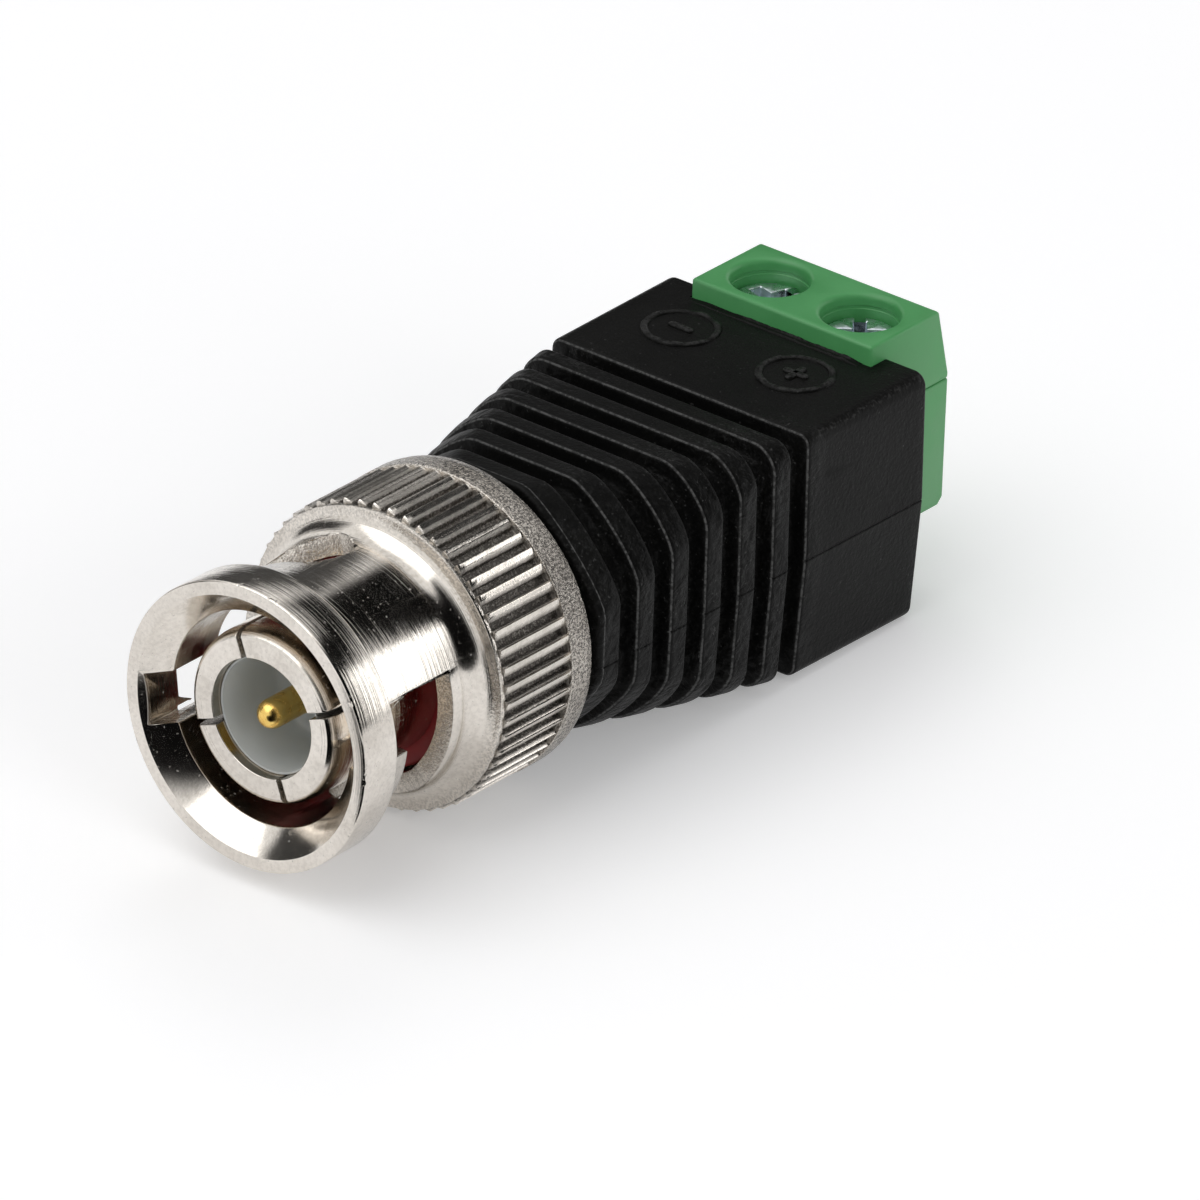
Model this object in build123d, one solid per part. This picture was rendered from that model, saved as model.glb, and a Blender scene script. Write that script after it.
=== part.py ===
from build123d import *
import os
from math import pi, radians, sin

# BNC plug to two-way screw terminal adapter, in millimetres.
# The plug's axis is Y. The coupling nut's front face lies at y = 0 and faces -Y,
# the screw terminals are at the +Y end, and the screws are turned from above, +Z.

# Outer contact and barrel: one turned piece with four sprung fingers
contact_radius = 4.05
contact_recess = 1.08
contact_face_round = 0.38
contact_round_length = 0.87
finger_wall = 1.29
finger_slot_angle = 22.0
finger_slot_width = 0.4
finger_slot_length = 5.1
flange_play = 0.05
body_flange_play = 0.3
body_flange_width = 1.15
barrel_step = 0.25
barrel_wall = 1.0
barrel_bore_start = 12.0
barrel_end = 21.0
grip_groove_depth = 0.4
grip_groove_width = 1.0
grip_groove_starts = [16.2, 18.4]

# Coupling nut: one turned and cast piece with a front flange, a neck and a knurl
socket_gap = 0.90
neck_wall = 0.90
flange_overhang = 0.84
flange_width = 2.17
flange_edge = 0.12
lead_in_width = 1.10
lead_in_depth = 1.1
neck_length = 5.4
flare_radius = 1.15
lip_width = 0.27
shoulder_width = 0.95
chamber_wall = 1.35
knurl_length = 4.25
rib_count = 54
rib_top_width = 0.45
rib_depth = 0.4
tail_length = 1.65
tail_round = 0.6

# Bayonet slots: a straight entry inside the flange, then a window that runs round the neck
entry_angle = 7.5
entry_width = 2.4
entry_depth = 0.80
entry_skin = 0.15
slot_width = 3.0
slot_path = [(0, 5.4), (15, 5.4), (30, 5.4), (45, 5.4), (57, 5.8), (69, 6.25), (81, 6.55)]

# Face gasket, wave spring, thrust washer and retaining ring
gasket_thickness = 1.0
gasket_play = 0.1
gasket_groove_depth = 0.3
gasket_edge = 0.15
wave_height = 1.0
wave_thickness = 0.22
wave_count = 3
wave_steps = 48
wave_inner_play = 0.15
wave_outer_play = 0.25
thrust_thickness = 0.5
thrust_inner_play = 0.08
thrust_outer_play = 0.1
ring_thickness = 0.7
ring_height = 1.15
ring_groove_depth = 0.45
ring_opening = 2.2

# Centre contact and its two insulators
pin_radius = 0.675
pin_recess = 1.15
pin_root_radius = 0.85
pin_collar_radius = 1.5
pin_collar_width = 0.8
pin_shank_radius = 1.1
solder_cup_radius = 0.7
solder_cup_depth = 3.0
cup_wall = 0.28
cup_recess = 1.85
cup_floor = 5.3
front_insulator_end = 9.0
rear_insulator_end = 16.0

# Moulded body: a box that runs forward as ribs, whose corners are cut ever wider towards the
# plug until the front band is almost round. That band lies a little off the plug's axis.
body_start = 15.22
box_length = 8.30
block_overhang = 4.55
collar_inset = 0.67
collar_top = 6.70
collar_bottom = -5.75
collar_shift = 0.57
collar_corner = 4.9
collar_fullness = 0.22
seam_overhang = 0.11
top_draft = 0.11
bottom_draft = 0.41
box_top = 5.50
box_bottom = -6.55
box_corner = 0.55
box_fullness = 0.55
least_corner = 0.2
box_draft = 0.08
seam_height = -0.58
band_count = 6
front_band_share = 0.1024
groove_share = 0.0782
groove_depth = 0.85
groove_draft = 0.10
band_round = 0.14
hub_length = 1.6

# Terminal block: a green base with a cover of the same green
pole_pitch = 5.08
block_half_width = 5.08
cover_top = 6.50
cover_rear_slope = 0.85
cover_top_length = 4.89
cover_front_slope = 1.79
cover_shoulder = 5.0
kink_height = 3.21
block_rear = 42.13
cover_seam = 2.90
base_step = 0.7
base_bottom = -3.31
base_floor = 0.5
base_edge = 0.35
cover_edge = 0.18

# Terminal screws
screw_head_radius = 1.72
screw_head_top = 5.50
screw_head_height = 1.35
screw_head_edge = 0.3
screw_radius = 1.46
screw_tip = 0.78
screw_tip_chamfer = 0.25
screw_slot_width = 0.5
screw_slot_depth = 0.7
cross_width = 0.62
cross_length = 2.2
cross_depth = 0.95
screw_hole_play = 0.08
screw_hole_round = 0.22
screw_shelf_play = 0.12

# Rising clamp cages, contact strips and wire entries
cage_wall = 0.4
cage_depth = 4.4
cage_bottom = -2.75
cage_floor = 0.65
cage_window_play = 0.05
cage_window_height = 2.8
cage_top = 1.0
cage_travel = 1.8
cage_edge = 0.3
cage_play = 0.1
thread_play = 0.04
strip_width = 2.3
strip_thickness = 0.7
strip_gap = 0.1
strip_front_wall = 1.0
strip_rear_play = 0.135
leg_width = 1.2
leg_thickness = 0.8
leg_bottom = -5.0
entry_hole_radius = 1.25
entry_funnel_radius = 1.7
entry_funnel_depth = 0.4

# Link wires inside the moulding
wire_radius = 0.45
wire_bend_share = 0.115
wire_front_share = 0.252
wire_rear_share = 0.324

# Clearance between pieces that are seated on each other, and how far a cut runs past them
seat_gap = 0.02
overrun = 1.0

# Radii worked out from the sizes above, from the contact outwards
contact_bore_radius = contact_radius - finger_wall
barrel_radius = contact_radius + barrel_step
barrel_bore_radius = barrel_radius - barrel_wall
nut_bore_radius = contact_radius + socket_gap
neck_radius = nut_bore_radius + neck_wall
flange_radius = neck_radius + flange_overhang
lead_in_radius = nut_bore_radius + lead_in_width
lip_radius = neck_radius + flare_radius
nut_chamber_radius = nut_bore_radius + shoulder_width
knurl_radius = nut_chamber_radius + chamber_wall
entry_radius = nut_bore_radius + entry_depth
body_flange_radius = nut_chamber_radius - body_flange_play
gasket_radius = nut_bore_radius - gasket_play
gasket_seat_radius = contact_radius - gasket_groove_depth
ring_groove_radius = nut_chamber_radius + ring_groove_depth
hub_radius = body_flange_radius
screw_hole_radius = screw_head_radius + screw_hole_play
screw_shelf_radius = screw_radius + screw_shelf_play
cage_window_width = 2 * (screw_radius + thread_play + cage_window_play)
cage_width = cage_window_width + 2 * cage_wall

# Places along the plug's axis
neck_end = flange_width + neck_length
knurl_start = neck_end + flare_radius + lip_width
knurl_end = knurl_start + knurl_length
nut_end = knurl_end + tail_length
finger_tip = contact_recess + contact_round_length
nut_shoulder = knurl_start - seat_gap
body_flange_start = nut_shoulder + flange_play
body_flange_end = body_flange_start + body_flange_width
gasket_start = body_flange_start - gasket_thickness
wave_end = body_flange_end + wave_height
thrust_start = wave_end + seat_gap
thrust_end = thrust_start + thrust_thickness
ring_start = thrust_end + seat_gap
ring_end = ring_start + ring_thickness

# Places of the box and the terminal block, worked out from the block's rear face
box_end = block_rear - block_overhang
box_start = box_end - box_length
groove_width = groove_share * (box_start - body_start)
front_band_width = front_band_share * (box_start - body_start)
band_pitch = (box_start - body_start - front_band_width - groove_width) / (band_count - 1)
cover_top_rear = block_rear - cover_rear_slope
cover_top_front = cover_top_rear - cover_top_length
cover_front = cover_top_front - cover_front_slope
base_front = cover_front - base_step
strip_front = base_front + strip_front_wall

# Half widths of the moulding: its box is as wide as the knurl
box_half_width_seam = knurl_radius + seam_overhang
box_half_width_top = box_half_width_seam - top_draft
box_half_width_bottom = box_half_width_seam - bottom_draft
collar_half_width = knurl_radius - collar_inset

# Places inside the terminal block
screw_y = (cover_top_front + cover_top_rear) / 2
cage_window_top = cage_bottom + cage_floor + cage_window_height
cage_top_face = cage_window_top + cage_top
pocket_top = cage_top_face + cage_travel + cage_play
strip_top = cage_window_top - strip_gap
strip_bottom = strip_top - strip_thickness
entry_height = (cage_bottom + cage_floor + strip_bottom) / 2
screw_head_bottom = screw_head_top - screw_head_height
chamber_front = screw_y - cage_depth / 2 - cage_play
chamber_rear = screw_y + cage_depth / 2 + cage_play
strip_rear = chamber_rear - strip_rear_play
solder_height = (base_bottom + leg_bottom) / 2
wire_span = strip_front - barrel_end
wire_front_run = wire_front_share * wire_span
wire_rear_run = wire_rear_share * wire_span
wire_bend = wire_bend_share * wire_span


def turned(outline):
    """A solid of revolution about the plug's axis, from points (radius, y)."""
    return revolve(make_face(Polyline(*outline, close=True)), axis=Axis.Y)


def turned_edges(*edges):
    """A solid of revolution about the plug's axis, from joined edges in radius and y."""
    return revolve(make_face(Wire(list(edges))), axis=Axis.Y)


def ring(inner, outer, start, end):
    """A plain ring or, with no inner radius, a disc on the plug's axis."""
    if inner == 0:
        return turned([(0, start), (outer, start), (outer, end), (0, end)])
    return turned([(inner, start), (outer, start), (outer, end), (inner, end)])


def block(x_span, y_span, z_span):
    """A box between two values on each axis."""
    size = [high - low for low, high in (x_span, y_span, z_span)]
    middle = [(high + low) / 2 for low, high in (x_span, y_span, z_span)]
    return Pos(*middle) * Box(*size)


def upright(radius, x, y, bottom, top):
    """A cylinder along Z."""
    return Pos(x, y, (bottom + top) / 2) * Cylinder(radius, top - bottom)


def along_y(radius, x, z, start, end):
    """A cylinder along Y, off the plug's axis."""
    return Pos(x, (start + end) / 2, z) * Rot(90, 0, 0) * Cylinder(radius, end - start)


# Coupling nut

def nut_blank():
    """The turned outside of the nut with its bore, lead-in cone, chamber and ring groove."""
    outside = Polyline(
        (nut_bore_radius, nut_shoulder),
        (nut_bore_radius, lead_in_depth),
        (lead_in_radius, 0),
        (flange_radius - flange_edge, 0),
        (flange_radius, flange_edge),
        (flange_radius, flange_width),
        (neck_radius, flange_width),
        (neck_radius, neck_end),
    )
    flare_end = neck_end + flare_radius
    flare_arc = RadiusArc((neck_radius, neck_end), (lip_radius, flare_end), flare_radius)
    back = Polyline(
        (lip_radius, flare_end),
        (lip_radius, knurl_start),
        (knurl_radius, knurl_start),
        (knurl_radius, nut_end - tail_round),
    )
    tail = RadiusArc(
        (knurl_radius, nut_end - tail_round), (knurl_radius - tail_round, nut_end), -tail_round
    )
    inside = Polyline(
        (knurl_radius - tail_round, nut_end),
        (nut_chamber_radius, nut_end),
        (nut_chamber_radius, ring_end + seat_gap),
        (ring_groove_radius, ring_end + seat_gap),
        (ring_groove_radius, ring_start - seat_gap),
        (nut_chamber_radius, ring_start - seat_gap),
        (nut_chamber_radius, nut_shoulder),
        (nut_bore_radius, nut_shoulder),
    )
    edges = [*outside.edges(), *flare_arc.edges(), *back.edges(), *tail.edges(), *inside.edges()]
    return turned_edges(*edges)


def rib_grooves():
    """The rectangular grooves that leave the flat-topped ribs of the knurl."""
    pitch = 2 * pi * knurl_radius / rib_count
    cutter = Pos(0, (knurl_start + knurl_end) / 2, knurl_radius) * Box(
        pitch - rib_top_width, knurl_length, 2 * rib_depth
    )
    return [Rot(0, 360 * k / rib_count, 0) * cutter for k in range(rib_count)]


def slot_section(turn, middle, inner, outer):
    """A radial rectangle across the slot, where it has gone so many degrees round the neck."""
    section = Pos((inner + outer) / 2, middle) * Rectangle(outer - inner, slot_width)
    return Rot(0, turn, 0) * section


def bayonet_slot(entry):
    """One slot, whose entry lies at so many degrees from +X towards +Z."""
    inner, outer = contact_radius, lip_radius + overrun
    sections = [slot_section(turn, middle, inner, outer) for turn, middle in slot_path]
    window = loft(sections, ruled=True)
    last_turn, last_middle = slot_path[-1]
    mill = Pos((inner + outer) / 2, 0, 0) * Rot(0, 90, 0) * Cylinder(slot_width / 2, outer - inner)
    end = Rot(0, last_turn, 0) * Pos(0, last_middle, 0) * mill
    half = entry_width / 2
    first_middle = slot_path[0][1]
    deep = first_middle + slot_width / 2
    channel = block((inner, entry_radius), (-overrun, deep), (-half, half))
    opening = block((inner, outer), (flange_width + entry_skin, deep), (-half, half))
    return Rot(0, -entry, 0) * (window + end + channel + opening)


def coupling_nut():
    nut = nut_blank()
    nut -= rib_grooves()
    for entry in (entry_angle, entry_angle + 180):
        nut -= bayonet_slot(entry)
    return nut


# Plug body

def plug_body():
    """Outer contact, captured flange and barrel, all one turned piece."""
    front = contact_recess
    contact_outside = ThreePointArc(
        (contact_radius - contact_face_round, front),
        (contact_radius - 0.3 * contact_face_round, front + 0.3 * contact_round_length),
        (contact_radius, finger_tip),
    )
    outside = [(contact_radius, finger_tip), (contact_radius, gasket_start)]
    outside += [(gasket_seat_radius, gasket_start), (gasket_seat_radius, body_flange_start)]
    outside += [(body_flange_radius, body_flange_start), (body_flange_radius, body_flange_end)]
    outside += [(barrel_radius, body_flange_end)]
    for start in grip_groove_starts:
        outside += [(barrel_radius, start), (barrel_radius - grip_groove_depth, start)]
        outside += [
            (barrel_radius - grip_groove_depth, start + grip_groove_width),
            (barrel_radius, start + grip_groove_width),
        ]
    outside += [
        (barrel_radius, barrel_end),
        (barrel_bore_radius, barrel_end),
        (barrel_bore_radius, barrel_bore_start),
        (contact_bore_radius, barrel_bore_start),
        (contact_bore_radius, front),
        (contact_radius - contact_face_round, front),
    ]
    body = turned_edges(*contact_outside.edges(), *Polyline(*outside).edges())
    slot = block(
        (0, contact_radius + overrun),
        (front - overrun, front + finger_slot_length),
        (-finger_slot_width / 2, finger_slot_width / 2),
    )
    for quarter in range(4):
        body -= Rot(0, -finger_slot_angle - 90 * quarter, 0) * slot
    return body


def gasket():
    """A flat sealing ring, snapped into a groove behind the fingers, against the flange."""
    inner = gasket_seat_radius + seat_gap
    seal = ring(inner, gasket_radius, gasket_start + seat_gap, body_flange_start)
    front_edges = seal.edges().filter_by(GeomType.CIRCLE).group_by(Axis.Y)[0]
    return fillet(front_edges, gasket_edge)


def wave_spring():
    """A ring of thin strip that waves along the plug's axis."""
    swing = (wave_height - wave_thickness) / 2
    middle = body_flange_end + wave_height / 2
    inner = barrel_radius + wave_inner_play
    outer = nut_chamber_radius - wave_outer_play

    def section(step):
        turn = 360 * step / wave_steps
        offset = swing * sin(radians(wave_count * turn))
        radial = Pos((inner + outer) / 2, middle + offset)
        return Rot(0, turn, 0) * (radial * Rectangle(outer - inner, wave_thickness))

    half = wave_steps // 2
    first = loft([section(step) for step in range(half + 1)], ruled=True)
    second = loft([section(step) for step in range(half, wave_steps + 1)], ruled=True)
    return first + second


def thrust_washer():
    inner = barrel_radius + thrust_inner_play
    return ring(inner, nut_chamber_radius - thrust_outer_play, thrust_start, thrust_end)


def retaining_ring():
    """A split ring that snaps into the groove inside the nut."""
    outer = ring_groove_radius - seat_gap
    half = ring_opening / 2
    split = block((0, outer + overrun), (ring_start - overrun, ring_end + overrun), (-half, half))
    inner = nut_chamber_radius - ring_height
    return ring(inner, outer, ring_start, ring_end) - Rot(0, 90, 0) * split


# Centre contact and insulators

def centre_pin():
    collar_start = front_insulator_end + seat_gap
    collar_end = collar_start + pin_collar_width
    tip_arc = RadiusArc((0, pin_recess), (pin_radius, pin_recess + pin_radius), -pin_radius)
    rest = Polyline(
        (pin_radius, pin_recess + pin_radius),
        (pin_radius, cup_floor),
        (pin_root_radius, cup_floor),
        (pin_root_radius, collar_start),
        (pin_collar_radius, collar_start),
        (pin_collar_radius, collar_end),
        (pin_shank_radius, collar_end),
        (pin_shank_radius, barrel_end),
        (solder_cup_radius, barrel_end),
        (solder_cup_radius, barrel_end - solder_cup_depth),
        (0, barrel_end - solder_cup_depth),
        (0, pin_recess),
    )
    return turned_edges(*tip_arc.edges(), *rest.edges())


def front_insulator():
    """A white cup that lines the fingers and holds the pin through its floor."""
    outer = contact_bore_radius - seat_gap
    inner = outer - cup_wall
    hole = pin_root_radius + seat_gap
    return turned([
        (outer, cup_recess), (outer, front_insulator_end), (hole, front_insulator_end),
        (hole, cup_floor), (inner, cup_floor), (inner, cup_recess),
    ])


def rear_insulator():
    """A stepped bush behind the pin's collar, held by the moulding."""
    start = front_insulator_end + pin_collar_width + 2 * seat_gap
    hole = pin_shank_radius + seat_gap
    return turned([
        (hole, start), (contact_bore_radius - seat_gap, start),
        (contact_bore_radius - seat_gap, barrel_bore_start),
        (barrel_bore_radius - seat_gap, barrel_bore_start + seat_gap),
        (barrel_bore_radius - seat_gap, rear_insulator_end), (hole, rear_insulator_end),
    ])


# Moulded body

def between(front_value, box_value, y):
    """A value that runs evenly from the body's front end to the box's front edge."""
    share = min(1.0, (y - body_start) / (box_start - body_start))
    return front_value + (box_value - front_value) * share


def body_corner(side, level, box_half_width, y, inset):
    """The four points of a corner's curve, from the flat to the side."""
    half = between(collar_half_width, box_half_width, y) - inset
    at_seam = between(collar_half_width, box_half_width_seam, y) - inset
    reach = max(between(collar_corner, box_corner, y) - inset, least_corner)
    handle = 1 - between(collar_fullness, box_fullness, y)
    corner = Vector(side * half, level)
    along_flat = Vector(-side, 0) * reach
    along_side = (Vector(side * at_seam, seam_height) - corner).normalized() * reach
    return [
        corner + along_flat, corner + along_flat * handle,
        corner + along_side * handle, corner + along_side,
    ]


def body_outline(y, inset):
    """The body's cross-section: four curved corners joined by sides, which kink at the seam."""
    top = between(collar_top, box_top, y) - inset
    bottom = between(collar_bottom, box_bottom, y) + inset
    corners = [
        body_corner(1, top, box_half_width_top, y, inset),
        body_corner(1, bottom, box_half_width_bottom, y, inset)[::-1],
        body_corner(-1, bottom, box_half_width_bottom, y, inset),
        body_corner(-1, top, box_half_width_top, y, inset)[::-1],
    ]
    at_seam = between(collar_half_width, box_half_width_seam, y) - inset
    seams = [[Vector(at_seam, seam_height)], [], [Vector(-at_seam, seam_height)], []]
    edges = []
    for points, seam, following in zip(corners, seams, corners[1:] + corners[:1]):
        edges += [*Bezier(*points).edges(), *Polyline(points[-1], *seam, following[0]).edges()]
    # The outline's right is +X and its up is +Z
    shift = between(collar_shift, 0, y)
    return Plane(origin=(shift, y, 0), x_dir=(1, 0, 0), z_dir=(0, -1, 0)) * make_face(Wire(edges))


def body_stations():
    """Places along the body with how far its skin is drawn in, for bands and grooves."""
    starts = [body_start]
    starts += [box_start - band_pitch * bands for bands in range(band_count - 1, 0, -1)]
    stations = []
    for start, next_start in zip(starts, starts[1:] + [box_start]):
        end = next_start - groove_width
        stations += [
            (start, band_round), (start + band_round, 0),
            (end - band_round, 0), (end, band_round),
            (end + groove_draft, groove_depth),
            (next_start - groove_draft, groove_depth),
        ]
    stations += [(box_start, band_round), (box_start + band_round, 0)]
    stations += [(box_end - band_round, -box_draft), (box_end, band_round - box_draft)]
    return stations


def body_blank():
    sections = [body_outline(y, inset) for y, inset in body_stations()]
    hub = ring(0, hub_radius, body_start - hub_length, body_start + overrun)
    return loft(sections, ruled=True) + hub


def moulded_body(embedded):
    """The black moulding, solid round everything that is embedded in it."""
    body = body_blank()
    for piece in embedded:
        body -= piece
    return body


# Terminal block

def yz_prism(points, half_width):
    """A prism across X, from points (y, z)."""
    outline = make_face(Polyline(*points, close=True))
    face = Plane(origin=(0, 0, 0), x_dir=(0, 1, 0), z_dir=(1, 0, 0)) * outline
    return extrude(face, amount=half_width, both=True)


def cover_blank():
    blank = yz_prism(
        [
            (cover_front, cover_seam), (cover_front, kink_height), (cover_top_front, cover_shoulder),
            (cover_top_front, cover_top), (cover_top_rear, cover_top),
            (block_rear, kink_height), (block_rear, cover_seam),
        ],
        block_half_width,
    )
    rim = blank.edges().group_by(Axis.Z)[-1]
    return fillet(rim, cover_edge)


def base_blank():
    blank = yz_prism(
        [
            (base_front, base_bottom), (block_rear, base_bottom),
            (block_rear, cover_seam), (base_front, cover_seam),
        ],
        block_half_width,
    )
    foot = blank.edges().filter_by(Axis.X).group_by(Axis.Z)[0]
    return chamfer(foot, base_edge)


def terminal_cover(poles):
    """The cover, with a rounded screw hole, a shelf and a cage pocket for each pole."""
    cover = cover_blank()
    shelf_top = screw_head_bottom - seat_gap
    half_x = cage_width / 2 + cage_play
    for x in poles:
        cover -= upright(screw_hole_radius, x, screw_y, shelf_top, cover_top + overrun)
        cover -= upright(screw_shelf_radius, x, screw_y, cover_seam - overrun, shelf_top + overrun)
        cover -= block(
            (x - half_x, x + half_x), (chamber_front, chamber_rear), (cover_seam, pocket_top)
        )
    mouths = [
        edge for edge in cover.edges().filter_by(GeomType.CIRCLE)
        if abs(edge.center().Z - cover_top) < 0.001 and abs(edge.radius - screw_hole_radius) < 0.001
    ]
    return fillet(mouths, screw_hole_round)


def wire_entry(x):
    """A round wire hole through the rear wall, with a funnel at its mouth."""
    hole = along_y(entry_hole_radius, x, entry_height, chamber_rear - overrun / 2, block_rear + overrun)
    funnel = Pos(x, block_rear - entry_funnel_depth / 2, entry_height) * Rot(-90, 0, 0) * Cone(
        entry_hole_radius, entry_funnel_radius, entry_funnel_depth
    )
    return hole + funnel


def strip_pocket(x):
    """The slots that hold a contact strip's tongue and leg."""
    half_tongue = strip_width / 2 + seat_gap
    half_leg = leg_width / 2 + seat_gap
    tongue = block(
        (x - half_tongue, x + half_tongue),
        (strip_front - seat_gap, chamber_front + overrun / 2),
        (strip_bottom - seat_gap, strip_top + seat_gap),
    )
    leg = block(
        (x - half_leg, x + half_leg),
        (strip_front - seat_gap, strip_front + leg_thickness + seat_gap),
        (base_bottom - overrun, strip_top + seat_gap),
    )
    return tongue + leg


def terminal_base(poles):
    """The base, with a chamber, a wire entry and a strip pocket for each pole."""
    base = base_blank()
    half_x = cage_width / 2 + cage_play
    for x in poles:
        base -= block(
            (x - half_x, x + half_x), (chamber_front, chamber_rear),
            (base_bottom + base_floor, cover_seam + overrun),
        )
        base -= wire_entry(x)
        base -= strip_pocket(x)
    return base


def terminal_screw(x):
    """A captive screw with a combined slot and cross recess."""
    axis = (x, screw_y)
    shank = upright(screw_radius, *axis, screw_tip, screw_head_bottom)
    shank = chamfer(shank.edges().group_by(Axis.Z)[0], screw_tip_chamfer)
    head = upright(screw_head_radius, *axis, screw_head_bottom, screw_head_top)
    head = fillet(head.edges().group_by(Axis.Z)[-1], screw_head_edge)
    slot = Pos(*axis, screw_head_top - screw_slot_depth / 2) * Box(
        4 * screw_head_radius, screw_slot_width, screw_slot_depth
    )
    cross = Pos(*axis, screw_head_top - cross_depth / 2) * (
        Box(cross_length, cross_width, cross_depth) + Box(cross_width, cross_length, cross_depth)
    )
    return head + shank - slot - cross


def clamp_cage(x):
    """A rising cage: the screw lifts it, and its floor grips the wire under the strip."""
    cage = block(
        (x - cage_width / 2, x + cage_width / 2),
        (screw_y - cage_depth / 2, screw_y + cage_depth / 2),
        (cage_bottom, cage_top_face),
    )
    cage = fillet(cage.edges().filter_by(Axis.Y), cage_edge)
    cage -= block(
        (x - cage_window_width / 2, x + cage_window_width / 2),
        (screw_y - cage_depth, screw_y + cage_depth),
        (cage_bottom + cage_floor, cage_window_top),
    )
    hole = (cage_window_top - overrun, cage_top_face + overrun)
    return cage - upright(screw_radius + thread_play, x, screw_y, *hole)


def contact_strip(x):
    """A bent strip: a flat tongue through the cage, and a leg down to the soldered end."""
    half_tongue, half_leg = strip_width / 2, leg_width / 2
    tongue = block(
        (x - half_tongue, x + half_tongue), (strip_front, strip_rear), (strip_bottom, strip_top)
    )
    leg = block(
        (x - half_leg, x + half_leg), (strip_front, strip_front + leg_thickness),
        (leg_bottom, strip_top),
    )
    return tongue + leg


def link_wire(points):
    """A soldered link of round wire, along straight runs with rounded corners."""
    path = FilletPolyline(*points, radius=wire_bend)
    start = Vector(*points[0])
    direction = Vector(*points[1]) - start
    profile = Plane(origin=start, z_dir=direction) * Circle(wire_radius)
    return sweep(profile, path=path)


def centre_link(x):
    """From the bottom of the pin's solder cup to the leg of one contact strip."""
    start = barrel_end - solder_cup_depth + seat_gap
    return link_wire([
        (0, start, 0), (0, barrel_end + wire_front_run, 0),
        (x, strip_front - wire_rear_run, solder_height),
        (x, strip_front - seat_gap, solder_height),
    ])


def ground_link(x):
    """From the rear rim of the barrel to the leg of the other contact strip."""
    rim = (barrel_radius + barrel_bore_radius) / 2
    return link_wire([
        (-rim, barrel_end + seat_gap, 0), (-rim, barrel_end + wire_front_run, 0),
        (x, strip_front - wire_rear_run, solder_height),
        (x, strip_front - seat_gap, solder_height),
    ])


def build():
    minus, plus = -pole_pitch / 2, pole_pitch / 2
    nodes = {
        "coupling_nut": coupling_nut(),
        "plug_body": plug_body(),
        "gasket": gasket(),
        "wave_spring": wave_spring(),
        "thrust_washer": thrust_washer(),
        "retaining_ring": retaining_ring(),
        "centre_pin": centre_pin(),
        "front_insulator": front_insulator(),
        "rear_insulator": rear_insulator(),
        "terminal_cover": terminal_cover((minus, plus)),
        "terminal_base": terminal_base((minus, plus)),
        "centre_link_wire": centre_link(plus),
        "ground_link_wire": ground_link(minus),
    }
    for name, x in (("minus", minus), ("plus", plus)):
        nodes[f"terminal_screw_{name}"] = terminal_screw(x)
        nodes[f"clamp_cage_{name}"] = clamp_cage(x)
        nodes[f"contact_strip_{name}"] = contact_strip(x)
    barrel = ring(0, barrel_bore_radius, barrel_bore_start, rear_insulator_end)
    embedded = [barrel, nodes["plug_body"], nodes["centre_pin"], cover_blank(), base_blank()]
    embedded += [nodes[f"contact_strip_{name}"] for name in ("minus", "plus")]
    embedded += [nodes["centre_link_wire"], nodes["ground_link_wire"]]
    nodes["moulded_body"] = moulded_body(embedded)
    return nodes


os.makedirs("parts", exist_ok=True)
for node, shape in build().items():
    export_step(shape, f"parts/{node}.step")
    print(node, round(shape.volume, 2))
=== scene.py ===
import math

import bmesh
import bpy
from mathutils import Matrix, Vector, noise


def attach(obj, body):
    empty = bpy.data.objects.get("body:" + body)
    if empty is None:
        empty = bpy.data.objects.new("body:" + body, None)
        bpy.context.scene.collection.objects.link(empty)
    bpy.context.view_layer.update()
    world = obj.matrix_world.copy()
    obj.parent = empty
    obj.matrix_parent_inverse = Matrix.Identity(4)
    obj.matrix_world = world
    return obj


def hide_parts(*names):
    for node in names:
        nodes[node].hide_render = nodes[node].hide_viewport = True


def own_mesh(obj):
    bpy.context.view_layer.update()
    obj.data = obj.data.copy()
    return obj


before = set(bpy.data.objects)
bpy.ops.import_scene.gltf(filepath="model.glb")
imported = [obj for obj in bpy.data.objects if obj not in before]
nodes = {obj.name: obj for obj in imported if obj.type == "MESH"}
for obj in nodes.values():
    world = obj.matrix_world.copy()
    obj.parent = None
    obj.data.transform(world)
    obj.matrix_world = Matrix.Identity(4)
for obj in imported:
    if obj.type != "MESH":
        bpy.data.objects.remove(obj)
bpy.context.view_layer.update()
MM = 0.001

# Floor
# A pale studio floor. The part lies on the lowest ribs of its nut and on the rear edge of its
# box, so the floor leans a little against the part's own axes.

nut_rest = Vector((0, 14.35, -7.26)) * MM
box_rest = Vector((0, 37.5, -6.64)) * MM
floor_size = 3.0
floor_lift, far_floor_lift = 0.24, 0.64


class Value:
    """An output in a node tree. Sums and products of values become Math nodes in the tree."""

    def __init__(self, socket):
        self.socket, self.tree = socket, socket.id_data

    def __add__(self, other):
        return maths(self.tree, "ADD", self, other)

    def __sub__(self, other):
        return maths(self.tree, "SUBTRACT", self, other)

    def __rsub__(self, other):
        return maths(self.tree, "SUBTRACT", other, self)

    def __mul__(self, other):
        return maths(self.tree, "MULTIPLY", self, other)

    def ramp(self, low, high, to_low=0.0, to_high=1.0):
        """Runs evenly from one value to another while this one goes from low to high."""
        return out(self.tree, "ShaderNodeMapRange", set_clamp=True,
                   i0=self, i1=low, i2=high, i3=to_low, i4=to_high)

    def over(self, low, high, to_low=0.0, to_high=1.0):
        """The same for a length, with low and high in millimetres."""
        return self.ramp(low * MM, high * MM, to_low, to_high)


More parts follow.
